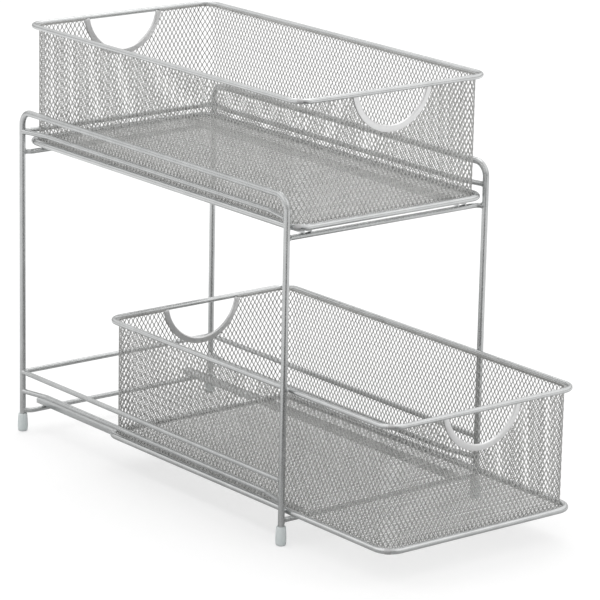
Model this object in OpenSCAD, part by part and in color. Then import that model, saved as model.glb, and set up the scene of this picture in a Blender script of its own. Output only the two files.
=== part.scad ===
// Two-tier pull-out basket organizer: a bent-wire frame that carries two sliding mesh baskets.
// X runs left to right, the baskets pull out towards -Y, and Z is up from the floor.
// The origin is on the floor, midway along the whole object with the lower basket pulled out.

/* [Frame] */
// Leg centre to leg centre, left to right
frame_w = 192; // [170:1:260]
// Leg centre to leg centre, front to back
frame_d = 345; // [300:1:420]
// Floor to the top of the top rails
frame_h = 270.5; // [262:0.5:340]
// Wire diameter of the two side frames
frame_wire = 5; // [4:0.1:6]
// Bend radius at the top corners, on the wire's centre
frame_bend_r = 11; // [7:0.5:16]

/* [Rails and crossbars] */
// Wire diameter of the rails, crossbars and stop bars
rail_wire = 4; // [3:0.1:5]
// Height of a guide rail over the hold-down rail below it, centre to centre
guide_rise = 16.4; // [12:0.1:22]
// Length, front to back, of the slanted end of a hold-down rail
hold_ramp = 26.5; // [20:0.5:40]
// Bend radius of a hold-down rail
hold_bend_r = 18; // [12:1:30]
// How far a crossbar lies inside the legs' plane
cross_inset = 4.5; // [3.5:0.5:7]
// Distance from the leg's centre at which a crossbar bends towards it
cross_kink = 6; // [5.5:0.5:9]
// Bend radius of a crossbar's end
cross_bend_r = 4; // [3:0.5:5]

/* [Runners] */
// Width of a runner channel
runner_w = 8; // [6:0.5:12]
// Height of a runner channel
runner_h = 4; // [3:0.5:6]
// Sheet thickness of a runner channel
runner_sheet = 1; // [0.8:0.1:1.4]
// Leg centre to the outer side of the runner
runner_inset = 17.3; // [14:0.1:30]
// How far a runner reaches past the front crossbar's centre
runner_front_over = 2.5; // [2:0.5:8]
// How far a runner reaches past the rear crossbar's centre
runner_rear_over = 10; // [2:0.5:14]

/* [Feet] */
// Height of a foot cap
foot_h = 15; // [12:0.5:20]
// Diameter of a foot cap at its base
foot_d = 8.4; // [8:0.1:11]
// Wall of a foot cap at its top
foot_wall = 1.15; // [0.8:0.05:1.4]
// Thickness under the leg's end
foot_sole = 3; // [2:0.5:5]
// Rounding of the foot's lower edge
foot_round = 1.4; // [0.8:0.1:2]

/* [Baskets] */
// Height from the base rim to the top rim, centre to centre
basket_h = 94; // [70:1:130]
// Wire diameter of the top rim
top_wire = 4; // [3:0.1:5]
// Wire diameter of the base rim
base_wire = 4.8; // [3.6:0.1:5.5]
// Corner radius of both rims, on the wire's centre
rim_corner_r = 13; // [10:0.5:18]
// Rim centre to the middle of the mesh wall
wall_inset = 3.8; // [3.4:0.1:5]
// How far the closed basket's rim stands in front of the legs' plane
front_proud = 4.7; // [1:0.1:10]
// How far the lower basket is pulled out at rest
lower_pull = 112; // [0:1:250]

/* [Mesh] */
// Thickness of the mesh
mesh_t = 1; // [0.8:0.1:1.4]
// Width of one gap in the walls' mesh, strand to strand
wall_cell_w = 44; // [28:1:60]
// Height of one gap in the walls' mesh, strand to strand
wall_cell_h = 44; // [36:1:60]
// Width of one gap in the floor's mesh, strand to strand
floor_cell_w = 57; // [34:1:70]
// Length of one gap in the floor's mesh, strand to strand
floor_cell_l = 68; // [50:1:90]
// Width of a strand
strand = 2.4; // [1.8:0.1:3]
// Plain edge round a wall's mesh
wall_edge = 3; // [2.4:0.1:5]
// Plain edge round the floor's mesh
floor_edge = 4.5; // [4:0.1:6]

/* [Handles] */
// Width of a handle cut-out at the top rim, outside its trim
handle_w = 76; // [60:1:100]
// Depth of a handle cut-out below the top rim's centre, outside its trim
handle_depth = 33; // [25:0.5:45]
// Width of the trim on the cut-out's edge
trim_w = 5; // [3:0.5:7]
// Thickness of the trim, across the mesh
trim_t = 2.4; // [2:0.1:3.5]

/* [Clearances] */
// Base rim to the legs, each side
side_gap = 0.75; // [0.4:0.05:1.5]
// Base rim over the runners
slide_gap = 0.3; // [0.2:0.05:0.6]
// Hold-down rail over the base rim
lift_gap = 3.3; // [2:0.1:6]
// Closed basket's rear wall to its stop bar
stop_gap = 0.6; // [0.3:0.1:1.5]
// Lower crossbars over the foot caps
foot_gap = 0.5; // [0.2:0.1:3]
// Foot cap's bore round the leg
foot_fit = 0.05; // [0.02:0.01:0.1]

/* [Hidden] */
$fn = 48;
silver = [0.76, 0.77, 0.77];
pale_grey = [0.86, 0.88, 0.88];
left = -1;
right = 1;
front = -1;
rear = 1;
// Length by which a cutter passes the face that it cuts
overrun = 1;
// Ball inside the joint of a bend and the straight after it, as a share of the wire's diameter
joint_share = 1.005;

// Half spacings of the legs
leg_x = frame_w / 2;
leg_y = frame_d / 2;

// Heights of the wires' centres
top_rail_z = frame_h - frame_wire / 2;
lower_cross_z = foot_h + foot_gap + rail_wire / 2;
cross_to_rim = rail_wire / 2 + runner_h + slide_gap + base_wire / 2;
cross_to_hold = cross_to_rim + base_wire / 2 + lift_gap + rail_wire / 2;
lower_hold_z = lower_cross_z + cross_to_hold;
lower_guide_z = lower_hold_z + guide_rise;
upper_hold_z = top_rail_z - guide_rise;
upper_cross_z = upper_hold_z - cross_to_hold;

// Both baskets, on the centre lines of their rims
rim_w = frame_w - frame_wire - base_wire - 2 * side_gap;
wall_stop_y = leg_y - rail_wire / 2 - stop_gap;
rim_rear_y = wall_stop_y - mesh_t / 2 + wall_inset;
rim_front_y = -leg_y - front_proud;
rim_d = rim_rear_y - rim_front_y;
closed_y = (rim_rear_y + rim_front_y) / 2;
lower_rim_z = lower_cross_z + cross_to_rim;
upper_rim_z = upper_cross_z + cross_to_rim;
wall_corner_r = rim_corner_r - wall_inset;
wall_h = basket_h;

// Front and rear ends of the whole object, measured from the frame's middle
widest_wire = max(top_wire, base_wire);
object_front_y = closed_y - lower_pull - rim_d / 2 - widest_wire / 2;
cross_y = leg_y - cross_inset;
runner_rear_y = cross_y + runner_rear_over;
object_rear_y = max(leg_y + foot_d / 2, runner_rear_y, closed_y + rim_d / 2 + widest_wire / 2);
// Place of the frame's middle, with the origin midway between those ends
frame_y = -(object_front_y + object_rear_y) / 2;
upper_y = frame_y + closed_y;
lower_y = frame_y + closed_y - lower_pull;

// Hold-down rails run over the base rim's side wires
hold_x = rim_w / 2;
hold_angle = atan((leg_x - hold_x) / hold_ramp);
cross_angle = atan(cross_inset / cross_kink);

// Handle cut-outs are parts of a circle
handle_r = (handle_w * handle_w / 4 + handle_depth * handle_depth) / (2 * handle_depth);
handle_up = handle_r - handle_depth;

// A wire along Z
module wire(length, d) {
    cylinder(h = length, d = d);
}

// A bent wire in the XY plane, from +X towards +Y
module bend(r, d, angle) {
    rotate_extrude(angle = angle)
        translate([r, 0])
            circle(d = d);
}

// A bend that starts at the origin, along +Y, and turns to -X, with the straight after it
module bent_end(r, angle, length, d) {
    translate([-r, 0, 0]) {
        bend(r, d, angle);
        rotate([0, 0, angle])
            translate([r, 0, 0]) {
                sphere(d = joint_share * d);
                rotate([-90, 0, 0])
                    wire(length, d);
            }
    }
}

// The legs, as cutters for the wires that are welded to them
module leg_cores() {
    for (x = [-leg_x, leg_x])
        for (y = [-leg_y, leg_y])
            translate([x, frame_y + y, 0])
                cylinder(h = frame_h, d = frame_wire);
}

// One side frame: front leg, top rail and rear leg from a single bent wire
module side_frame(side) {
    leg_top = top_rail_z - frame_bend_r;
    color(silver)
        translate([side * leg_x, frame_y, 0]) {
            for (y = [-leg_y, leg_y])
                translate([0, y, foot_sole])
                    wire(leg_top - foot_sole, frame_wire);
            translate([0, leg_y - frame_bend_r, top_rail_z])
                rotate([90, 0, 0])
                    wire(frame_d - 2 * frame_bend_r, frame_wire);
            translate([0, leg_y - frame_bend_r, leg_top])
                rotate([90, 0, 90])
                    bend(frame_bend_r, frame_wire, 90);
            translate([0, frame_bend_r - leg_y, leg_top])
                rotate([90, 0, 90])
                    rotate([0, 0, 90])
                        bend(frame_bend_r, frame_wire, 90);
        }
}

// Straight bar across the back, leg to leg
module stop_bar_wire(z) {
    translate([-leg_x, frame_y + leg_y, z])
        rotate([0, 90, 0])
            wire(frame_w, rail_wire);
}

module stop_bar(z) {
    color(silver)
        difference() {
            stop_bar_wire(z);
            leg_cores();
        }
}

// Straight guide rail of the lower tier, in line with the legs
module guide_rail(side) {
    color(silver)
        difference() {
            translate([side * leg_x, frame_y + leg_y, lower_guide_z])
                rotate([90, 0, 0])
                    wire(frame_d, rail_wire);
            leg_cores();
            stop_bar_wire(lower_guide_z);
        }
}

// Rear half of the right hold-down rail, from the middle to the leg's centre
module hold_rail_half() {
    tangent = hold_bend_r * tan(hold_angle / 2);
    straight = leg_y - hold_ramp - tangent;
    ramp = norm([leg_x - hold_x, hold_ramp]) - tangent;
    translate([hold_x, 0, 0])
        rotate([-90, 0, 0])
            wire(straight, rail_wire);
    translate([hold_x, straight, 0])
        mirror([1, 0, 0])
            bent_end(hold_bend_r, hold_angle, ramp, rail_wire);
}

// Hold-down rail: straight over the basket's base rim, slanted out to the legs at both ends
module hold_rail(side, z) {
    color(silver)
        difference() {
            translate([0, frame_y, z])
                mirror([side == left ? 1 : 0, 0, 0]) {
                    hold_rail_half();
                    mirror([0, 1, 0])
                        hold_rail_half();
                }
            leg_cores();
            stop_bar_wire(upper_hold_z);
        }
}

// Right half of the rear crossbar, from the middle to the leg's centre
module crossbar_half() {
    tangent = cross_bend_r * tan(cross_angle / 2);
    straight = leg_x - cross_kink - tangent;
    kink = norm([cross_kink, cross_inset]) - tangent;
    translate([0, cross_y, 0])
        rotate([0, 90, 0])
            wire(straight, rail_wire);
    translate([straight, cross_y, 0])
        rotate([0, 0, -90])
            bent_end(cross_bend_r, cross_angle, kink, rail_wire);
}

// Crossbar under a basket, with its ends bent out to the legs
module crossbar(end, z) {
    color(silver)
        difference() {
            translate([0, frame_y, z])
                mirror([0, end == front ? 1 : 0, 0]) {
                    crossbar_half();
                    mirror([1, 0, 0])
                        crossbar_half();
                }
            leg_cores();
        }
}

// Runner channel, open below, lying on the front and rear crossbars
module runner(side, z) {
    length = runner_rear_y + cross_y + runner_front_over;
    color(silver)
        translate([side * (leg_x - runner_inset - runner_w / 2), frame_y + runner_rear_y, z + rail_wire / 2])
            rotate([90, 0, 0])
                linear_extrude(length)
                    difference() {
                        translate([-runner_w / 2, 0])
                            square([runner_w, runner_h]);
                        translate([runner_sheet - runner_w / 2, -overrun])
                            square([runner_w - 2 * runner_sheet, runner_h - runner_sheet + overrun]);
                    }
}

// Foot cap, pushed onto a leg's end
module foot(side, end) {
    top_r = frame_wire / 2 + foot_fit + foot_wall;
    base_r = foot_d / 2;
    color(pale_grey)
        translate([side * leg_x, frame_y + end * leg_y, 0])
            difference() {
                rotate_extrude() {
                    square([base_r - foot_round, foot_round]);
                    intersection() {
                        translate([base_r - foot_round, foot_round])
                            circle(r = foot_round);
                        square([base_r, foot_round]);
                    }
                    polygon([[0, foot_round], [base_r, foot_round], [top_r, foot_h], [0, foot_h]]);
                }
                translate([0, 0, foot_sole])
                    cylinder(h = foot_h, r = frame_wire / 2 + foot_fit);
            }
}

// Closed rim of a basket: a rounded rectangle of wire
module rim(d) {
    half_x = rim_w / 2;
    half_y = rim_d / 2;
    run_x = half_x - rim_corner_r;
    run_y = half_y - rim_corner_r;
    for (side = [-1, 1]) {
        translate([side * half_x, run_y, 0])
            rotate([90, 0, 0])
                wire(2 * run_y, d);
        translate([-run_x, side * half_y, 0])
            rotate([0, 90, 0])
                wire(2 * run_x, d);
    }
    for (turn = [0, 90, 180, 270]) {
        corner_x = (turn == 0 || turn == 270) ? run_x : -run_x;
        corner_y = turn < 180 ? run_y : -run_y;
        translate([corner_x, corner_y, 0])
            rotate([0, 0, turn])
                bend(rim_corner_r, d, 90);
    }
}

// One gap of the mesh, a diamond that leaves half a strand on each side
module gap(pitch_u, pitch_v) {
    half_u = pitch_u / 2;
    half_v = pitch_v / 2;
    slant = norm([half_u, half_v]);
    open_u = half_u - strand / 2 * slant / half_v;
    open_v = half_v - strand / 2 * slant / half_u;
    polygon([[open_u, 0], [0, open_v], [-open_u, 0], [0, -open_v]]);
}

// Staggered gaps that fill a field from its lower left corner
module gaps(width, length, cell_w, cell_l) {
    columns = max(1, round(width / cell_w));
    rows = max(1, round(length / cell_l));
    pitch_u = width / columns;
    pitch_v = length / rows;
    intersection() {
        square([width, length]);
        union() {
            for (i = [1 : columns])
                for (j = [1 : rows])
                    translate([(i - 0.5) * pitch_u, (j - 0.5) * pitch_v])
                        gap(pitch_u, pitch_v);
            for (i = [0 : columns])
                for (j = [0 : rows])
                    translate([i * pitch_u, j * pitch_v])
                        gap(pitch_u, pitch_v);
        }
    }
}

// Wall of mesh in its own plane, U along it and V up from the floor's mesh
module wall_net(length) {
    difference() {
        translate([-length / 2, 0])
            square([length, wall_h]);
        translate([wall_edge - length / 2, wall_edge])
            gaps(length - 2 * wall_edge, wall_h - 2 * wall_edge, wall_cell_w, wall_cell_h);
    }
}

// The same wall with the cut-out for a handle and a plain edge round it
module handle_wall_net(length) {
    difference() {
        union() {
            wall_net(length);
            intersection() {
                translate([-length / 2, 0])
                    square([length, wall_h]);
                handle_disc(handle_r + strand);
            }
        }
        handle_disc(handle_r);
    }
}

// Disc whose lower part is the handle cut-out, in the wall's plane
module handle_disc(r) {
    translate([0, basket_h - mesh_t / 2 + handle_up])
        circle(r = r, $fn = 96);
}

// Hem that joins a wall's top edge to the rim, along the straight part of the wall
module hem(length) {
    reach = wall_inset - mesh_t / 2 - top_wire / 2;
    translate([-length / 2, mesh_t / 2, wall_h - mesh_t])
        cube([length, reach, mesh_t]);
}

// Left or right wall, seen from inside with +Y outwards before it is turned into place
module side_mesh(side) {
    length = rim_d - 2 * rim_corner_r;
    translate([side * (rim_w / 2 - wall_inset), 0, mesh_t / 2])
        rotate([0, 0, -side * 90]) {
            rotate([90, 0, 0])
                linear_extrude(mesh_t, center = true)
                    wall_net(length);
            hem(length);
        }
}

// Front or rear wall with its handle cut-out
module end_mesh(end) {
    length = rim_w - 2 * rim_corner_r;
    translate([0, end * (rim_d / 2 - wall_inset), mesh_t / 2])
        rotate([0, 0, end == front ? 180 : 0]) {
            rotate([90, 0, 0])
                linear_extrude(mesh_t, center = true)
                    handle_wall_net(length);
            difference() {
                hem(length);
                rotate([90, 0, 0])
                    linear_extrude(2 * wall_inset, center = true)
                        handle_disc(handle_r);
            }
        }
}

// The four rounded corners between the walls, with one tall gap each
module corner_mesh() {
    run_x = rim_w / 2 - rim_corner_r;
    run_y = rim_d / 2 - rim_corner_r;
    hem_r = rim_corner_r - top_wire / 2;
    field_h = wall_h - 2 * wall_edge;
    for (turn = [0, 90, 180, 270]) {
        corner_x = (turn == 0 || turn == 270) ? run_x : -run_x;
        corner_y = turn < 180 ? run_y : -run_y;
        translate([corner_x, corner_y, mesh_t / 2])
            rotate([0, 0, turn])
                difference() {
                    rotate_extrude(angle = 90) {
                        translate([wall_corner_r - mesh_t / 2, 0])
                            square([mesh_t, wall_h]);
                        translate([wall_corner_r, wall_h - mesh_t])
                            square([hem_r - wall_corner_r, mesh_t]);
                    }
                    rotate([90, 0, 135])
                        linear_extrude(rim_corner_r)
                            translate([0, wall_h / 2])
                                gap(wall_corner_r * sqrt(2), field_h);
                }
    }
}

// Floor of mesh, inside the base rim
module floor_mesh() {
    half_x = (rim_w - base_wire) / 2;
    half_y = (rim_d - base_wire) / 2;
    r = rim_corner_r - base_wire / 2;
    linear_extrude(mesh_t, center = true)
        difference() {
            union() {
                square([2 * half_x, 2 * (half_y - r)], center = true);
                square([2 * (half_x - r), 2 * half_y], center = true);
                for (x = [r - half_x, half_x - r])
                    for (y = [r - half_y, half_y - r])
                        translate([x, y])
                            circle(r = r);
            }
            translate([floor_edge - half_x, floor_edge - half_y])
                gaps(2 * (half_x - floor_edge), 2 * (half_y - floor_edge), floor_cell_w, floor_cell_l);
        }
}

// Trim on the edge of a handle cut-out, up to the wall's top edge
module handle_trim(end) {
    translate([0, end * (rim_d / 2 - wall_inset), mesh_t / 2])
        rotate([90, 0, 0])
            linear_extrude(trim_t, center = true)
                intersection() {
                    difference() {
                        handle_disc(handle_r);
                        handle_disc(handle_r - trim_w);
                    }
                    translate([-handle_w, 0])
                        square([2 * handle_w, wall_h]);
                }
}

module top_rim() {
    translate([0, 0, basket_h])
        rim(top_wire);
}

module base_rim() {
    rim(base_wire);
}

// Puts a basket's piece in its tier
module in_upper() {
    color(silver)
        translate([0, upper_y, upper_rim_z])
            children();
}

module in_lower() {
    color(silver)
        translate([0, lower_y, lower_rim_z])
            children();
}

side_frame(left);  // left_side_frame
side_frame(right);  // right_side_frame
guide_rail(left);  // lower_left_guide_rail
guide_rail(right);  // lower_right_guide_rail
hold_rail(left, upper_hold_z);  // upper_left_hold_rail
hold_rail(right, upper_hold_z);  // upper_right_hold_rail
hold_rail(left, lower_hold_z);  // lower_left_hold_rail
hold_rail(right, lower_hold_z);  // lower_right_hold_rail
crossbar(front, upper_cross_z);  // upper_front_crossbar
crossbar(rear, upper_cross_z);  // upper_rear_crossbar
crossbar(front, lower_cross_z);  // lower_front_crossbar
crossbar(rear, lower_cross_z);  // lower_rear_crossbar
stop_bar(upper_hold_z);  // upper_stop_bar
stop_bar(lower_guide_z);  // lower_stop_bar
runner(left, upper_cross_z);  // upper_left_runner
runner(right, upper_cross_z);  // upper_right_runner
runner(left, lower_cross_z);  // lower_left_runner
runner(right, lower_cross_z);  // lower_right_runner
foot(left, front);  // front_left_foot
foot(right, front);  // front_right_foot
foot(left, rear);  // rear_left_foot
foot(right, rear);  // rear_right_foot
in_upper() top_rim();  // upper_top_rim
in_upper() base_rim();  // upper_base_rim
in_upper() floor_mesh();  // upper_floor_mesh
in_upper() end_mesh(front);  // upper_front_mesh
in_upper() end_mesh(rear);  // upper_rear_mesh
in_upper() side_mesh(left);  // upper_left_mesh
in_upper() side_mesh(right);  // upper_right_mesh
in_upper() corner_mesh();  // upper_corner_mesh
in_upper() handle_trim(front);  // upper_front_handle_trim
in_upper() handle_trim(rear);  // upper_rear_handle_trim
in_lower() top_rim();  // lower_top_rim
in_lower() base_rim();  // lower_base_rim
in_lower() floor_mesh();  // lower_floor_mesh
in_lower() end_mesh(front);  // lower_front_mesh
in_lower() end_mesh(rear);  // lower_rear_mesh
in_lower() side_mesh(left);  // lower_left_mesh
in_lower() side_mesh(right);  // lower_right_mesh
in_lower() corner_mesh();  // lower_corner_mesh
in_lower() handle_trim(front);  // lower_front_handle_trim
in_lower() handle_trim(rear);  // lower_rear_handle_trim
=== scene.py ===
from math import asin, atan2, cos, hypot, pi, radians, sin, tan
import bmesh
import bpy
from mathutils import Matrix, Vector


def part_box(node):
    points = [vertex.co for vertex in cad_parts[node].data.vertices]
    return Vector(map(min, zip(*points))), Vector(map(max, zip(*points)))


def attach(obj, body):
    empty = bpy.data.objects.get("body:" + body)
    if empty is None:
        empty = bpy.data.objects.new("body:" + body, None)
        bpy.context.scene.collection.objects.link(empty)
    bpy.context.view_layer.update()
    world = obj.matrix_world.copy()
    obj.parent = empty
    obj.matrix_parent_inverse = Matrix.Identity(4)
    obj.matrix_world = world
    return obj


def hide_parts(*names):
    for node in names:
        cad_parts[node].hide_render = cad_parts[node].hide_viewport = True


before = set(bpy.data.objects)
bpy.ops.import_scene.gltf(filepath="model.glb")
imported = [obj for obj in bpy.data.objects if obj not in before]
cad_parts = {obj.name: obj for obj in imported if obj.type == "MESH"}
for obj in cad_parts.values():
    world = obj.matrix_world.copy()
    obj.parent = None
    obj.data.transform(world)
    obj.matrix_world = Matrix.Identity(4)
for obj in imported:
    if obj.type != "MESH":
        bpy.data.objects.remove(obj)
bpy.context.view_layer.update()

MM = 0.001
MERGE = 0.01 * MM


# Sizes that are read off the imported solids
def lowest(node):
    return Vector(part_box(node)[0])


def highest(node):
    return Vector(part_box(node)[1])


def middle(node):
    return (lowest(node) + highest(node)) / 2


def extent(node):
    return highest(node) - lowest(node)


LEG_D = extent("left_side_frame").x
RAIL_D = extent("lower_stop_bar").z
TOP_D = extent("upper_top_rim").z
BASE_D = extent("upper_base_rim").z
LEG_X = middle("right_side_frame").x
LEG_END_Z = lowest("right_side_frame").z
TOP_RAIL_Z = highest("right_side_frame").z - LEG_D / 2
FRAME_Y = middle("right_side_frame").y
LEG_Y = (extent("right_side_frame").y - LEG_D) / 2
RIM_X = (extent("upper_base_rim").x - BASE_D) / 2
RIM_Y = (extent("upper_base_rim").y - BASE_D) / 2
WALL_H = middle("upper_top_rim").z - middle("upper_base_rim").z
TRIM_T = extent("upper_front_handle_trim").y

# Wire: sides of its section, steps in a bend, and the bends of each kind
WIRE_SIDES = 24
BEND_STEPS = 10
FRAME_BEND_R = 11 * MM
HOLD_BEND_R = 18 * MM
HOLD_RAMP = 26.5 * MM
CROSS_BEND_R = 4 * MM
CROSS_KINK = 6 * MM
CROSS_INSET = 4.5 * MM

# Basket: corners, inset of the mesh from the rims, and the cut-out for the hand
RIM_CORNER_R = 13 * MM
WALL_INSET = 3.8 * MM
WALL_CORNER_R = 10.2 * MM
WALL_X = RIM_X - WALL_INSET
WALL_Y = RIM_Y - WALL_INSET
HANDLE_W = 76 * MM
HANDLE_DEPTH = 33 * MM
HANDLE_R = (HANDLE_W ** 2 / 4 + HANDLE_DEPTH ** 2) / (2 * HANDLE_DEPTH)
HANDLE_UP = HANDLE_R - HANDLE_DEPTH


# Camera at the photograph's viewing angle
CAMERA_PLACE = (-1.6219, -2.0490, 0.8692)
CAMERA_BEARING = radians(-38.53)
CAMERA_TILT = radians(90 - 15.41)
CAMERA_ROLL = radians(1.188)
SENSOR_W = 36
LENS = 209.18
VIEW_REACH = 20


def add_camera():
    data = bpy.data.cameras.new("view_camera")
    data.sensor_width = SENSOR_W
    data.lens = LENS
    data.clip_end = VIEW_REACH
    camera = bpy.data.objects.new("view_camera", data)
    bpy.context.scene.collection.objects.link(camera)
    camera.matrix_world = (
        Matrix.Translation(CAMERA_PLACE)
        @ Matrix.Rotation(CAMERA_BEARING, 4, "Z")
        @ Matrix.Rotation(CAMERA_TILT, 4, "X")
        @ Matrix.Rotation(CAMERA_ROLL, 4, "Z")
    )
    bpy.context.scene.camera = camera


# Materials. Noise scales are in clouds per metre.
METAL_CLOUDS = 60
PEEL_SHARE = 0.7
RELIEF_DEPTH = 0.05 * MM
PLASTIC_CLOUDS = 220
PLASTIC_GRAIN = 1500
PLASTIC_RELIEF = 0.15
PLASTIC_GLOSS_SPREAD = 0.06
PLASTIC_GLOW_DEPTH = 2 * MM


def new_material(name):
    material = bpy.data.materials.new(name)
    material.use_nodes = True
    nodes = material.node_tree.nodes
    return material, nodes, material.node_tree.links, nodes["Principled BSDF"]


def noise(nodes, links, scale, detail=3, roughness=0.55):
    place = nodes.get("place") or nodes.new("ShaderNodeTexCoord")
    place.name = "place"
    cloud = nodes.new("ShaderNodeTexNoise")
    cloud.inputs["Scale"].default_value = scale
    cloud.inputs["Detail"].default_value = detail
    cloud.inputs["Roughness"].default_value = roughness
    links.new(place.outputs["Object"], cloud.inputs["Vector"])
    return cloud.outputs["Fac"]


def ramp(nodes, links, source, stops):
    """Turns 0..1 into tones or colours, each stop a place and its shade."""
    band = nodes.new("ShaderNodeValToRGB")
    marks = band.color_ramp.elements
    while len(marks) < len(stops):
        marks.new(0.5)
    for mark, (place, shade) in zip(marks, stops):
        mark.position = place
        mark.color = (*shade, 1) if isinstance(shade, tuple) else (shade, shade, shade, 1)
    links.new(source, band.inputs["Fac"])
    return band.outputs["Color"]


def bump(nodes, links, source, shader, strength):
    dent = nodes.new("ShaderNodeBump")
    dent.inputs["Strength"].default_value = strength
    dent.inputs["Distance"].default_value = RELIEF_DEPTH
    links.new(source, dent.inputs["Height"])
    links.new(dent.outputs["Normal"], shader.inputs["Normal"])


def metal(name, light, dark, smooth, rough, grain, metallic=1.0, relief=0.25):
    """Silver lacquer over wire: a cloudy tone, a fine grain in its gloss and a slight orange peel."""
    material, nodes, links, shader = new_material(name)
    shader.inputs["Metallic"].default_value = metallic
    cloud = noise(nodes, links, METAL_CLOUDS, detail=4)
    links.new(ramp(nodes, links, cloud, [(0.35, dark), (0.65, light)]), shader.inputs["Base Color"])
    fine = noise(nodes, links, grain, detail=5, roughness=0.65)
    links.new(ramp(nodes, links, fine, [(0.3, smooth), (0.7, rough)]), shader.inputs["Roughness"])
    bump(nodes, links, noise(nodes, links, grain * PEEL_SHARE), shader, relief)
    return material


def plastic(name, light, dark, rough):
    """Soft translucent plastic, cloudy inside, with a moulded skin."""
    material, nodes, links, shader = new_material(name)
    cloud = noise(nodes, links, PLASTIC_CLOUDS)
    links.new(ramp(nodes, links, cloud, [(0.3, dark), (0.7, light)]), shader.inputs["Base Color"])
    fine = noise(nodes, links, PLASTIC_GRAIN)
    gloss = [(0.3, rough - PLASTIC_GLOSS_SPREAD), (0.7, rough + PLASTIC_GLOSS_SPREAD)]
    links.new(ramp(nodes, links, fine, gloss), shader.inputs["Roughness"])
    shader.inputs["Subsurface Weight"].default_value = 0.35
    shader.inputs["Subsurface Radius"].default_value = (1, 1, 1)
    shader.inputs["Subsurface Scale"].default_value = PLASTIC_GLOW_DEPTH
    shader.inputs["IOR"].default_value = 1.48
    bump(nodes, links, fine, shader, PLASTIC_RELIEF)
    return material


# Each finish: its light and dark tone, its roughness from smooth to rough, and its grain
MATERIALS = {
    "frame_wire": metal("silver_wire", (0.59, 0.60, 0.60), (0.52, 0.53, 0.53), 0.22, 0.32, 1400),
    "runner_sheet": metal("silver_sheet", (0.60, 0.61, 0.61), (0.53, 0.54, 0.54), 0.28, 0.38, 1100),
    "basket_wire": metal("basket_silver", (0.66, 0.67, 0.67), (0.59, 0.60, 0.60), 0.16, 0.26, 1400),
    "basket_mesh": metal("mesh_silver", (0.58, 0.58, 0.57), (0.50, 0.50, 0.49), 0.22, 0.34, 1200),
    "handle_trim": metal("trim_silver", (0.82, 0.82, 0.82), (0.75, 0.75, 0.75), 0.26, 0.36, 1200,
                         metallic=0.92),
    "foot_plastic": plastic("foot_white", (0.72, 0.76, 0.76), (0.64, 0.69, 0.69), 0.42),
}
# A darker, rougher grey for the band in each rim's front left bend.
CORNER_BAND_FINISH = metal("corner_band_grey", (0.62, 0.62, 0.62), (0.46, 0.46, 0.46), 0.4, 0.55, 2400, relief=0.6)


# Modelling steps
def deselect():
    if bpy.context.mode != "OBJECT":
        bpy.ops.object.mode_set(mode="OBJECT")
    bpy.ops.object.select_all(action="DESELECT")


def make_active(piece):
    deselect()
    piece.select_set(True)
    bpy.context.view_layer.objects.active = piece


def fix_place():
    bpy.ops.object.transform_apply(location=True, rotation=True, scale=True)
    return bpy.context.object


def edit_all():
    bpy.ops.object.mode_set(mode="EDIT")
    bpy.ops.mesh.select_mode(type="VERT")
    bpy.ops.mesh.select_all(action="SELECT")


def extrude(x, y, z):
    bpy.ops.mesh.extrude_region_move(TRANSFORM_OT_translate={"value": (x, y, z)})


def pick(test, kind="verts"):
    """Selects the points, or the faces by their middles, that pass the test."""
    bpy.ops.mesh.select_mode(type="VERT" if kind == "verts" else "FACE")
    bpy.ops.mesh.select_all(action="DESELECT")
    work = bmesh.from_edit_mesh(bpy.context.object.data)
    for part in getattr(work, kind):
        spot = part.co if kind == "verts" else part.calc_center_median()
        if test(spot):
            part.select_set(True)
    work.select_flush_mode()
    bmesh.update_edit_mesh(bpy.context.object.data)


def close_shell(angle=40, fill=False):
    """Merges doubles, closes open ends if asked, turns faces outwards and smooths shallow edges."""
    edit_all()
    bpy.ops.mesh.remove_doubles(threshold=MERGE)
    if fill:
        bpy.ops.mesh.select_all(action="SELECT")
        bpy.ops.mesh.fill_holes(sides=0)
    bpy.ops.mesh.select_all(action="SELECT")
    bpy.ops.mesh.normals_make_consistent(inside=False)
    bpy.ops.object.mode_set(mode="OBJECT")
    bpy.ops.object.shade_smooth_by_angle(angle=radians(angle))
    return bpy.context.object


def apply_modifier(kind, **settings):
    """Adds one modifier to the active piece, sets it and applies it."""
    piece = bpy.context.object
    step = piece.modifiers.new(kind.lower(), kind)
    for key, value in settings.items():
        setattr(step, key, value)
    bpy.ops.object.modifier_apply(modifier=step.name)
    return piece


def sweep(route, bend_r):
    """Runs the selected profile along the route, with a bend at each of its corners."""
    here = route[0]
    for corner, after in zip(route[1:-1], route[2:]):
        into = (corner - here).normalized()
        out = (after - corner).normalized()
        angle = into.angle(out)
        bend_start = corner - bend_r * tan(angle / 2) * into
        inward = (out - into * into.dot(out)).normalized()
        extrude(*(bend_start - here))
        bpy.ops.mesh.spin(steps=BEND_STEPS, angle=-angle, center=bend_start + bend_r * inward,
                          axis=into.cross(out).normalized())
        here = corner + bend_r * tan(angle / 2) * out
    extrude(*(route[-1] - here))


def bent_wire(diameter, corners, bend_r=0, closed=False):
    """One wire, bent at its corners, with flat ends or closed to a loop."""
    route = [Vector(corner) for corner in corners]
    if closed:
        seam = (route[-1] + route[0]) / 2
        route = [seam, *route, seam]
    deselect()
    bpy.ops.mesh.primitive_circle_add(
        vertices=WIRE_SIDES, radius=diameter / 2, fill_type="NOTHING", location=route[0],
        rotation=(route[1] - route[0]).to_track_quat("Z", "X").to_euler())
    fix_place()
    edit_all()
    sweep(route, bend_r)
    return close_shell(fill=not closed)


def copy_of(piece, turn=0, shift=(0, 0, 0)):
    """A copy with its own mesh, turned about Z and then moved."""
    make_active(piece)
    bpy.ops.object.duplicate(linked=False)
    twin = bpy.context.object
    twin.rotation_euler = (0, 0, turn)
    twin.location = shift
    return fix_place()


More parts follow.
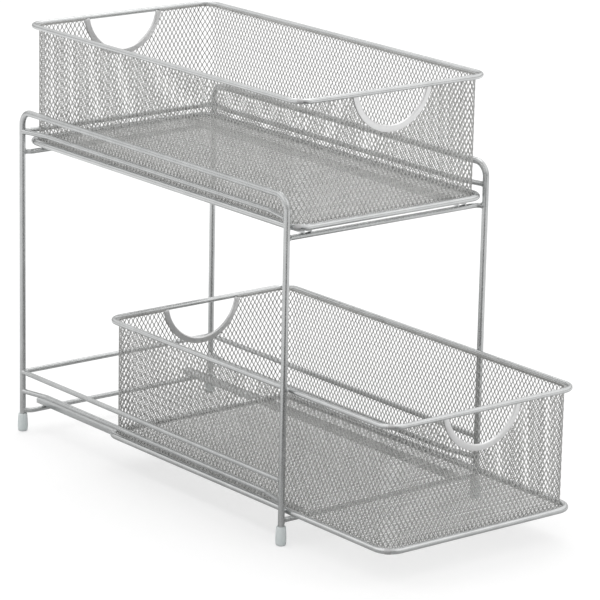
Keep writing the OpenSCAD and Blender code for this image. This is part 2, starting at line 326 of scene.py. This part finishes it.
def dress(piece, name, body, slot, *nodes):
    """Names a finished piece, gives it its finish and sets it on its body in place of the CAD nodes."""
    piece.name = name
    piece.data.name = name
    piece.data.materials.clear()
    piece.data.materials.append(MATERIALS[slot])
    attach(piece, body)
    if nodes:
        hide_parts(*nodes)
    return piece


def join(pieces):
    deselect()
    for piece in pieces:
        piece.select_set(True)
    bpy.context.view_layer.objects.active = pieces[0]
    bpy.ops.object.join()
    return bpy.context.object


# Frame: bent side wires, rails, crossbars and stop bars
def frame_wire(name, node, diameter, route, bend_r=0):
    dress(bent_wire(diameter, route, bend_r), name, "frame", "frame_wire", node)


def frame_wires():
    front_y = FRAME_Y - LEG_Y
    rear_y = FRAME_Y + LEG_Y
    for side, word in ((-1, "left"), (1, "right")):
        x = side * LEG_X
        route = [(x, front_y, LEG_END_Z), (x, front_y, TOP_RAIL_Z),
                 (x, rear_y, TOP_RAIL_Z), (x, rear_y, LEG_END_Z)]
        frame_wire(f"{word}_bent_side_wire", f"{word}_side_frame", LEG_D, route, FRAME_BEND_R)
        node = f"lower_{word}_guide_rail"
        z = middle(node).z
        frame_wire(f"{word}_guide_wire", node, RAIL_D, [(x, front_y, z), (x, rear_y, z)])
        for tier in ("upper", "lower"):
            node = f"{tier}_{word}_hold_rail"
            z = middle(node).z
            hold_x = side * RIM_X
            route = [(x, front_y, z), (hold_x, front_y + HOLD_RAMP, z),
                     (hold_x, rear_y - HOLD_RAMP, z), (x, rear_y, z)]
            frame_wire(f"{tier}_{word}_hold_wire", node, RAIL_D, route, HOLD_BEND_R)
    for tier in ("upper", "lower"):
        for end, word in ((-1, "front"), (1, "rear")):
            node = f"{tier}_{word}_crossbar"
            z = middle(node).z
            leg_y = FRAME_Y + end * LEG_Y
            bar_y = FRAME_Y + end * (LEG_Y - CROSS_INSET)
            bar_x = LEG_X - CROSS_KINK
            route = [(-LEG_X, leg_y, z), (-bar_x, bar_y, z), (bar_x, bar_y, z), (LEG_X, leg_y, z)]
            frame_wire(f"{tier}_{word}_cross_wire", node, RAIL_D, route, CROSS_BEND_R)
        node = f"{tier}_stop_bar"
        z = middle(node).z
        frame_wire(f"{tier}_rear_stop_wire", node, RAIL_D, [(-LEG_X, rear_y, z), (LEG_X, rear_y, z)])


# Runners: folded sheet channels, open below
RUNNER_SHEET = 1 * MM
RUNNER_FOLD_R = 1.1 * MM
RUNNER_FOLD_STEPS = 4


def runners():
    for tier in ("upper", "lower"):
        for word in ("left", "right"):
            node = f"{tier}_{word}_runner"
            deselect()
            bpy.ops.mesh.primitive_cube_add(size=1, location=middle(node))
            bpy.context.object.scale = extent(node)
            fix_place()
            low, high = lowest(node), highest(node)
            centre, half_length = middle(node), extent(node).y / 2
            bpy.ops.object.mode_set(mode="EDIT")
            pick(lambda spot: (spot.z < low.z + MERGE
                               or abs(spot.y - centre.y) > half_length - MERGE), "faces")
            bpy.ops.mesh.delete(type="FACE")
            bpy.ops.mesh.select_mode(type="EDGE")
            bpy.ops.mesh.select_all(action="DESELECT")
            work = bmesh.from_edit_mesh(bpy.context.object.data)
            for edge in work.edges:
                lengthwise = abs(edge.verts[0].co.y - edge.verts[1].co.y) > MM
                if lengthwise and edge.verts[0].co.z > high.z - MERGE:
                    edge.select_set(True)
            bmesh.update_edit_mesh(bpy.context.object.data)
            bpy.ops.mesh.bevel(offset=RUNNER_FOLD_R, segments=RUNNER_FOLD_STEPS)
            bpy.ops.object.mode_set(mode="OBJECT")
            apply_modifier("SOLIDIFY", thickness=RUNNER_SHEET, offset=-1)
            dress(close_shell(), f"{tier}_{word}_channel", "frame", "runner_sheet", node)


# Feet: soft caps with a slight belly, a rounded sole and a lip round the leg.
# Heights from the floor and radii, in millimetres
FOOT_PROFILE = [(0, 2.9), (0.4, 3.6), (1.3, 3.98), (3.2, 4.15), (6, 4.2), (10, 4.02),
                (13.8, 3.72), (14.7, 3.6), (15, 3.3), (15, 2.8), (14.6, 2.5), (12, 2.5)]
FOOT_SIDES = 32


def feet():
    for word in ("front_left", "front_right", "rear_left", "rear_right"):
        node = f"{word}_foot"
        centre = middle(node)
        deselect()
        here, radius = FOOT_PROFILE[0]
        bpy.ops.mesh.primitive_circle_add(vertices=FOOT_SIDES, radius=radius * MM, fill_type="NGON",
                                          location=(centre.x, centre.y, here * MM))
        fix_place()
        edit_all()
        for height, reach in FOOT_PROFILE[1:]:
            extrude(0, 0, (height - here) * MM)
            bpy.ops.transform.resize(value=(reach / radius, reach / radius, 1), center_override=centre)
            here, radius = height, reach
        dress(close_shell(angle=60), f"{word}_foot_cap", "frame", "foot_plastic", node)


# Welds: a small collar at each rail's end. Rims: a darker, rougher band in each rim's front left bend.
# Reaches of the collar from the leg's middle and its radii, in millimetres
COLLAR_PROFILE = [(1.4, 2.5), (2.5, 2.4), (3.0, 2.2), (3.6, 2.07), (4.4, 2.01)]
RIM_BAND_HALF = 2.1 * MM
RIM_BAND_STEPS = 4
RIM_BAND_PROUD = 0.06 * MM
FRONT_LEFT = 1.25 * pi


def weld_collar():
    """Collar round a rail that leaves a leg along +X, from inside the leg outwards."""
    here, radius = COLLAR_PROFILE[0]
    deselect()
    bpy.ops.mesh.primitive_circle_add(vertices=WIRE_SIDES, radius=radius * MM, fill_type="NGON",
                                      location=(here * MM, 0, 0), rotation=(0, pi / 2, 0))
    fix_place()
    edit_all()
    for reach, width in COLLAR_PROFILE[1:]:
        extrude((reach - here) * MM, 0, 0)
        bpy.ops.transform.resize(value=(1, width / radius, width / radius),
                                 center_override=(reach * MM, 0, 0))
        here, radius = reach, width
    return close_shell(angle=60)


def frame_welds():
    model = weld_collar()
    collars = []
    for side, word in ((-1, "left"), (1, "right")):
        for end, bar in ((-1, "front"), (1, "rear")):
            leg = Vector((side * LEG_X, FRAME_Y + end * LEG_Y, 0))
            spots = [(middle(f"lower_{word}_guide_rail").z, -end * pi / 2)]
            for tier in ("upper", "lower"):
                lean = atan2(-end * HOLD_RAMP, side * (RIM_X - LEG_X))
                spots.append((middle(f"{tier}_{word}_hold_rail").z, lean))
                lean = atan2(-end * CROSS_INSET, -side * CROSS_KINK)
                spots.append((middle(f"{tier}_{bar}_crossbar").z, lean))
                if end > 0:
                    spots.append((middle(f"{tier}_stop_bar").z, 0 if side < 0 else pi))
            for height, turn in spots:
                collars.append(copy_of(model, turn, leg + Vector((0, 0, height))))
    bpy.data.objects.remove(model)
    dress(join(collars), "frame_weld_collars", "frame", "frame_wire")


def rim_corner_band(diameter):
    """Darker, rougher band in the bend at a rim's front left corner, a little proud, flush with the rim on
    top.
    """
    centre = Vector((RIM_CORNER_R - RIM_X, RIM_CORNER_R - RIM_Y, -RIM_BAND_PROUD))
    half = RIM_BAND_HALF / RIM_CORNER_R
    turn = FRONT_LEFT - half
    deselect()
    bpy.ops.mesh.primitive_circle_add(
        vertices=WIRE_SIDES, radius=diameter / 2 + RIM_BAND_PROUD, fill_type="NOTHING",
        location=centre + RIM_CORNER_R * Vector((cos(turn), sin(turn), 0)), rotation=(pi / 2, 0, turn))
    fix_place()
    edit_all()
    bpy.ops.mesh.spin(steps=RIM_BAND_STEPS, angle=-2 * half, center=centre, axis=(0, 0, 1))
    return close_shell(angle=50, fill=True)


# Expanded metal: width and length of a gap from strand to strand, the sheet and its strands
MESH_GAP_W = 4.1 * MM
FLOOR_GAP_L = 6.5 * MM
BOND_SHARE = 0.16
STRAND = 0.58 * MM
SHEET_T = 0.38 * MM
WALL_TILT = radians(9)
FLOOR_TILT = radians(-20)

# Wall nets start at NET_FOOT over the base rim's middle and leave WALL_SPARE of the height free in all
WALL_ROWS = 14
NET_FOOT = 0.2 * MM
WALL_SPARE = 1.2 * MM
ROW_H = (WALL_H - WALL_SPARE) / WALL_ROWS
CORNER_COLUMNS = 4
CORNER_STEPS = 8

# How far the end walls' net and hem run in under the handle's trim
NET_IN_TRIM = 1.9 * MM
HEM_IN_TRIM = 1.5 * MM

# Hem: a strip over the net's top rows, and a lip that reaches out to the rim
HEM_TOP = WALL_H + 0.2 * MM
HEM_DROP = 1.5 * MM
HEM_HALF_T = 0.3 * MM
LIP_DROP = 0.3 * MM
LIP_REACH = 2.4 * MM

# Trim: a channel of thin sheet, rounded towards the opening and pinched at its open edge
TRIM_W = 5 * MM
TRIM_SHEET = 0.6 * MM
TRIM_ROUND_SHARE = 0.99
TRIM_ROUND_STEPS = 4
TRIM_PINCH = 0.55
TRIM_HALF_ARC = radians(80.5)
TRIM_ARC_STEPS = 56


def net(columns, pitch_u, rows, pitch_v, bond_tilt):
    """Flat net of staggered diamonds with louvred strands, along X from its middle and up Y from 0."""
    half_u = pitch_u / 2 / (1 - BOND_SHARE)
    half_v = pitch_v / 2 / (1 - BOND_SHARE)
    deselect()
    bpy.ops.mesh.primitive_circle_add(vertices=4, radius=1, fill_type="NGON")
    bpy.context.object.scale = (half_u, half_v, 1)
    fix_place()
    edit_all()
    bpy.ops.mesh.bevel(offset=BOND_SHARE * hypot(half_u, half_v), affect="VERTICES", segments=1)
    bpy.ops.mesh.select_all(action="SELECT")
    bpy.ops.mesh.inset(thickness=STRAND, use_even_offset=True)
    bpy.ops.mesh.delete(type="ONLY_FACE")
    tip = pitch_u / 2 - STRAND
    tilt = -asin(STRAND * tan(bond_tilt) / tip)
    pick(lambda spot: abs(spot.x) < tip + MERGE and abs(spot.y) < pitch_v / 2 - STRAND + MERGE)
    bpy.ops.transform.rotate(value=tilt, orient_axis="Y", center_override=(0, 0, 0))
    for end in (-1, 1):
        pick(lambda spot: end * spot.y > pitch_v / 2 - MERGE)
        bpy.ops.transform.rotate(value=bond_tilt, orient_axis="Y",
                                 center_override=(0, end * pitch_v / 2, 0))
    bpy.ops.mesh.select_all(action="SELECT")
    bpy.ops.transform.translate(value=((1 - columns) / 2 * pitch_u, pitch_v / 2, 0))
    bpy.ops.object.mode_set(mode="OBJECT")
    for count, step in ((columns, (pitch_u, 0, 0)), (rows, (0, pitch_v, 0))):
        apply_modifier("ARRAY", count=count, use_relative_offset=False, use_constant_offset=True,
                       constant_offset_displace=step, use_merge_vertices=True, merge_threshold=MERGE)
    return bpy.context.object


def wall_net(columns, length):
    return net(columns, length / columns, WALL_ROWS, ROW_H, WALL_TILT)


def thicken(piece):
    make_active(piece)
    apply_modifier("SOLIDIFY", thickness=SHEET_T, offset=0)
    bpy.ops.object.shade_smooth()
    return piece


def stand_up(piece):
    """Turns a flat net upright, with its rows up Z from the foot of the wall."""
    make_active(piece)
    piece.rotation_euler = (pi / 2, 0, 0)
    piece.location = (0, 0, NET_FOOT)
    return fix_place()


def extent_x(piece):
    places = [point.co.x for point in piece.data.vertices]
    return max(places) - min(places)


def edge_strip(start, end, steps, low, high, inner, outer):
    """Plain strip along X on an upright net, low..high in height and inner..outer across the net."""
    deselect()
    bpy.ops.mesh.primitive_plane_add(size=1, location=(start, (inner + outer) / 2, (low + high) / 2),
                                     rotation=(0, pi / 2, 0))
    bpy.context.object.scale = (high - low, abs(outer - inner), 1)
    fix_place()
    edit_all()
    for _ in range(steps):
        extrude((end - start) / steps, 0, 0)
    return close_shell(angle=30)


def hemmed(piece, runs=None, steps=1):
    """Adds the hem that closes the net at the top, over its whole length or over the given runs."""
    half = extent_x(piece) / 2
    parts = [piece]
    for start, end in runs or [(-half, half)]:
        parts.append(edge_strip(start, end, steps, WALL_H - HEM_DROP, HEM_TOP, -HEM_HALF_T, HEM_HALF_T))
        parts.append(edge_strip(start, end, steps, WALL_H - LIP_DROP, HEM_TOP, -LIP_REACH, -HEM_HALF_T))
    return join(parts)


def side_wall():
    length = 2 * (WALL_Y - WALL_CORNER_R)
    return hemmed(stand_up(thicken(wall_net(round(length / MESH_GAP_W), length))))


def end_wall():
    length = 2 * (WALL_X - WALL_CORNER_R)
    piece = wall_net(round(length / MESH_GAP_W), length)
    centre = Vector((0, WALL_H + HANDLE_UP - NET_FOOT, 0))
    bpy.ops.object.mode_set(mode="EDIT")
    pick(lambda spot: (spot - centre).xy.length < HANDLE_R - NET_IN_TRIM, "faces")
    bpy.ops.mesh.delete(type="FACE")
    bpy.ops.object.mode_set(mode="OBJECT")
    piece = stand_up(thicken(piece))
    gap = HANDLE_W / 2 - HEM_IN_TRIM
    return hemmed(piece, [(-length / 2, -gap), (gap, length / 2)])


def corner_wall():
    arc = WALL_CORNER_R * pi / 2
    piece = hemmed(stand_up(thicken(wall_net(CORNER_COLUMNS, arc))), steps=CORNER_STEPS)
    make_active(piece)
    return apply_modifier("SIMPLE_DEFORM", deform_method="BEND", deform_axis="Z", angle=pi / 2)


def floor_net():
    width = 2 * (RIM_X - BASE_D / 2)
    length = 2 * (RIM_Y - BASE_D / 2)
    columns = round(width / MESH_GAP_W)
    rows = round(length / FLOOR_GAP_L)
    piece = thicken(net(columns, width / columns, rows, length / rows, FLOOR_TILT))
    piece.location = (0, -length / 2, 0)
    return fix_place()


def handle_trim():
    """Channel folded over the edge of the handle's cut-out, round side towards the opening."""
    centre = Vector((0, 0, WALL_H + HANDLE_UP))
    deselect()
    bpy.ops.mesh.primitive_plane_add(size=1, location=centre + Vector((0, 0, -HANDLE_R + TRIM_W / 2)),
                                     rotation=(0, pi / 2, 0))
    bpy.context.object.scale = (TRIM_W, TRIM_T, 1)
    fix_place()
    bpy.ops.object.mode_set(mode="EDIT")
    nose = centre.z - HANDLE_R + TRIM_W
    pick(lambda spot: spot.z > nose - MERGE)
    bpy.ops.mesh.bevel(offset=TRIM_T / 2 * TRIM_ROUND_SHARE, affect="VERTICES", segments=TRIM_ROUND_STEPS)
    pick(lambda spot: spot.z < centre.z - HANDLE_R + MERGE)
    bpy.ops.transform.resize(value=(1, TRIM_PINCH, 1), center_override=centre)
    bpy.ops.mesh.select_mode(type="EDGE")
    bpy.ops.mesh.delete(type="EDGE")
    edit_all()
    bpy.ops.transform.rotate(value=TRIM_HALF_ARC, orient_axis="Y", center_override=centre)
    bpy.ops.mesh.spin(steps=TRIM_ARC_STEPS, angle=-2 * TRIM_HALF_ARC, center=centre, axis=(0, 1, 0))
    close_shell(angle=50)
    apply_modifier("SOLIDIFY", thickness=TRIM_SHEET, offset=-1)
    return apply_modifier("WEIGHTED_NORMAL", weight=100)


def rim(diameter):
    corners = [(RIM_X, -RIM_Y, 0), (RIM_X, RIM_Y, 0), (-RIM_X, RIM_Y, 0), (-RIM_X, -RIM_Y, 0)]
    return bent_wire(diameter, corners, RIM_CORNER_R, closed=True)


def baskets():
    """Models each piece once about the basket's middle and copies it into both baskets."""
    rims = {"top_rim": rim(TOP_D), "base_rim": rim(BASE_D)}
    corner_bands = {"top_rim": rim_corner_band(TOP_D), "base_rim": rim_corner_band(BASE_D)}
    side, end, corner, floor, trim = side_wall(), end_wall(), corner_wall(), floor_net(), handle_trim()
    for tier in ("upper", "lower"):
        body = f"{tier}_basket"
        base = middle(f"{tier}_base_rim")
        base.x = 0
        for word, ring in rims.items():
            spot = base + Vector((0, 0, WALL_H if word == "top_rim" else 0))
            name = f"{tier}_{word}"
            dress(copy_of(ring, 0, spot), f"{name}_wire", body, "basket_wire", name)
            corner_band = dress(copy_of(corner_bands[word], 0, spot), f"{name}_weld", body, "basket_wire")
            # The band in the rim's front left bend gets the darker, rougher grey.
            corner_band.data.materials[0] = CORNER_BAND_FINISH
        for word, turn, place in (("right", pi / 2, (WALL_X, 0, 0)), ("left", -pi / 2, (-WALL_X, 0, 0))):
            name = f"{tier}_{word}"
            wall = copy_of(side, turn, base + Vector(place))
            dress(wall, f"{name}_net", body, "basket_mesh", f"{name}_mesh")
        for word, turn, place in (("front", 0, (0, -WALL_Y, 0)), ("rear", pi, (0, WALL_Y, 0))):
            name = f"{tier}_{word}"
            wall = copy_of(end, turn, base + Vector(place))
            dress(wall, f"{name}_net", body, "basket_mesh", f"{name}_mesh")
            channel = copy_of(trim, turn, base + Vector(place))
            dress(channel, f"{name}_trim_channel", body, "handle_trim", f"{name}_handle_trim")
        corners = []
        for quarter in range(4):
            turn = pi / 4 + quarter * pi / 2
            mid = Vector((sin(turn), -cos(turn), 0)) * WALL_CORNER_R
            right = 1 if quarter < 2 else -1
            near = -1 if quarter in (0, 3) else 1
            bend_centre = Vector((right * (WALL_X - WALL_CORNER_R), near * (WALL_Y - WALL_CORNER_R), 0))
            corners.append(copy_of(corner, turn, base + bend_centre + mid))
        dress(join(corners), f"{tier}_corner_nets", body, "basket_mesh", f"{tier}_corner_mesh")
        dress(copy_of(floor, pi, base), f"{tier}_floor_net", body, "basket_mesh", f"{tier}_floor_mesh")
    for model in (*rims.values(), *corner_bands.values(), side, end, corner, floor, trim):
        bpy.data.objects.remove(model)


# Studio: pale floor and soft light, with a ring of softboxes that only reflections see.
# These two directions are fixed in the scene and lie as the photograph was taken.
TOWARDS_CAMERA = Vector((-0.6229, -0.7823, 0))
CAMERA_RIGHT = Vector((0.7823, -0.6229, 0))

FLOOR_SIZE = 14
FLOOR_SHADE = (0.5, 0.5, 0.5, 1)
FLOOR_GLOW = 0.54
WHITE = (1, 1, 1, 1)

# The unlit gap between the softboxes, painted as shade into the floor's colour that reflections see: where
# it starts, its half width and its turn
DARK_NEAR = 0.22
DARK_FAR = 0.45
DARK_HALF = 0.25
DARK_FADE_OUT = 1.3
DARK_FADE_IN = 0.8
DARK_TURN = radians(-10)

# Tones that the metal reflects: floor in and out of the gap and by distance, which are shade painted into
# the floor's colour, darkest in the gap and near the object; ring by bearing, and height
PAINTED_GAP_SHADE_TONES = [(0, 0.9), (1, 0.11)]
PAINTED_NEAR_SHADE_TONES = [(0.25, 0.65), (0.6, 1)]
RING_TONES = [(-180, 0.5), (-165, 0.66), (-150, 0.6), (-122, 0.55), (-103, 0.8), (-70, 0.8), (-28, 0.64),
              (0, 0.5), (28, 0.5), (60, 0.8), (85, 0.8), (105, 0.72), (168, 0.72), (180, 0.5)]
HEIGHT_TONES = [(0, 0.52), (0.2, 0.58), (0.45, 1.0), (1, 0.9)]
RING_STRENGTH = 1.6

LAMP_PLACE = Vector((0.6, 0.8, 2.2))
LAMP_AIM = Vector((0, 0, 0.15))
LAMP_SIZE = 1.5
LAMP_POWER = 10


def reach_along(nodes, links, source, direction):
    """How far a vector reaches along a fixed direction."""
    dot = nodes.new("ShaderNodeVectorMath")
    dot.operation = "DOT_PRODUCT"
    dot.inputs[1].default_value = direction
    links.new(source, dot.inputs[0])
    return dot.outputs["Value"]


def spread(nodes, links, source, low, high):
    """Maps low..high to 0..1."""
    step = nodes.new("ShaderNodeMapRange")
    step.inputs["From Min"].default_value = low
    step.inputs["From Max"].default_value = high
    links.new(source, step.inputs["Value"])
    return step.outputs["Result"]


def times(nodes, links, first, second):
    step = nodes.new("ShaderNodeMath")
    step.operation = "MULTIPLY"
    links.new(first, step.inputs[0])
    links.new(second, step.inputs[1])
    return step.outputs["Value"]


def by_ray(nodes, links, ray, others, shown, surface):
    """Shows one shader to rays of this kind and the other shader to all others."""
    choice = nodes.new("ShaderNodeMixShader")
    rays = nodes.new("ShaderNodeLightPath")
    links.new(rays.outputs[ray], choice.inputs["Fac"])
    links.new(others.outputs[0], choice.inputs[1])
    links.new(shown.outputs[0], choice.inputs[2])
    links.new(choice.outputs[0], surface)


def painted_gap_shade_mask(nodes, links, place):
    """1 in the unlit gap between the softboxes, in front of the object and a little to the right, else 0:
    where shade is painted into the floor's colour.
    """
    ahead = spread(nodes, links, reach_along(nodes, links, place, TOWARDS_CAMERA), DARK_NEAR, DARK_FAR)
    across = TOWARDS_CAMERA * sin(DARK_TURN) + CAMERA_RIGHT * cos(DARK_TURN)
    aside = nodes.new("ShaderNodeMath")
    aside.operation = "ABSOLUTE"
    links.new(reach_along(nodes, links, place, across), aside.inputs[0])
    inside = spread(nodes, links, aside.outputs["Value"],
                    DARK_HALF * DARK_FADE_OUT, DARK_HALF * DARK_FADE_IN)
    return times(nodes, links, ahead, inside)


def floor_material():
    """White to the camera with a light shadow; to reflections a floor with painted shade, darker in the
    unlit gap between the softboxes and near the object.
    """
    material = bpy.data.materials.new("studio_floor_white")
    material.use_nodes = True
    nodes, links = material.node_tree.nodes, material.node_tree.links
    nodes.remove(nodes["Principled BSDF"])
    shaded = nodes.new("ShaderNodeBsdfDiffuse")
    shaded.inputs["Color"].default_value = FLOOR_SHADE
    glow = nodes.new("ShaderNodeEmission")
    glow.inputs["Color"].default_value = WHITE
    glow.inputs["Strength"].default_value = FLOOR_GLOW
    both = nodes.new("ShaderNodeAddShader")
    links.new(shaded.outputs[0], both.inputs[0])
    links.new(glow.outputs[0], both.inputs[1])
    place = nodes.new("ShaderNodeTexCoord").outputs["Object"]
    distance = nodes.new("ShaderNodeVectorMath")
    distance.operation = "LENGTH"
    links.new(place, distance.inputs[0])
    # Painted shade in the floor's colour that only reflections see: darker in the gap and near the object.
    painted_shade_tone = times(nodes, links, ramp(nodes, links, painted_gap_shade_mask(nodes, links, place), PAINTED_GAP_SHADE_TONES),
                       ramp(nodes, links, distance.outputs["Value"], PAINTED_NEAR_SHADE_TONES))
    bounce = nodes.new("ShaderNodeBsdfDiffuse")
    links.new(painted_shade_tone, bounce.inputs["Color"])
    by_ray(nodes, links, "Is Camera Ray", bounce, both, nodes["Material Output"].inputs["Surface"])
    return material


def surround():
    """White backdrop to all rays but reflections, which see the ring of softboxes."""
    world = bpy.data.worlds.new("studio")
    bpy.context.scene.world = world
    world.use_nodes = True
    nodes, links = world.node_tree.nodes, world.node_tree.links
    direction = nodes.new("ShaderNodeTexCoord").outputs["Generated"]
    bearing = nodes.new("ShaderNodeMath")
    bearing.operation = "ARCTAN2"
    links.new(reach_along(nodes, links, direction, CAMERA_RIGHT), bearing.inputs[0])
    links.new(reach_along(nodes, links, direction, TOWARDS_CAMERA), bearing.inputs[1])
    ring = ramp(nodes, links, spread(nodes, links, bearing.outputs["Value"], -pi, pi),
                [((angle + 180) / 360, tone) for angle, tone in RING_TONES])
    height = spread(nodes, links, reach_along(nodes, links, direction, (0, 0, 1)), 0, 1)
    pattern = times(nodes, links, ramp(nodes, links, height, HEIGHT_TONES), ring)
    softboxes = nodes["Background"]
    links.new(pattern, softboxes.inputs["Color"])
    softboxes.inputs["Strength"].default_value = RING_STRENGTH
    backdrop = nodes.new("ShaderNodeBackground")
    backdrop.inputs["Color"].default_value = WHITE
    by_ray(nodes, links, "Is Glossy Ray", backdrop, softboxes, nodes["World Output"].inputs["Surface"])


def studio():
    deselect()
    bpy.ops.mesh.primitive_plane_add(size=FLOOR_SIZE, location=(0, 0, 0))
    ground = bpy.context.object
    ground.name = "studio_floor"
    ground.data.materials.append(floor_material())
    surround()
    data = bpy.data.lights.new("overhead_softbox", "AREA")
    data.shape = "SQUARE"
    data.size = LAMP_SIZE
    data.energy = LAMP_POWER
    lamp = bpy.data.objects.new("overhead_softbox", data)
    bpy.context.scene.collection.objects.link(lamp)
    lamp.location = LAMP_PLACE
    lamp.rotation_euler = (LAMP_AIM - LAMP_PLACE).to_track_quat("-Z", "Y").to_euler()
    bpy.context.scene.view_settings.view_transform = "Standard"


add_camera()
frame_wires()
frame_welds()
runners()
feet()
baskets()
studio()
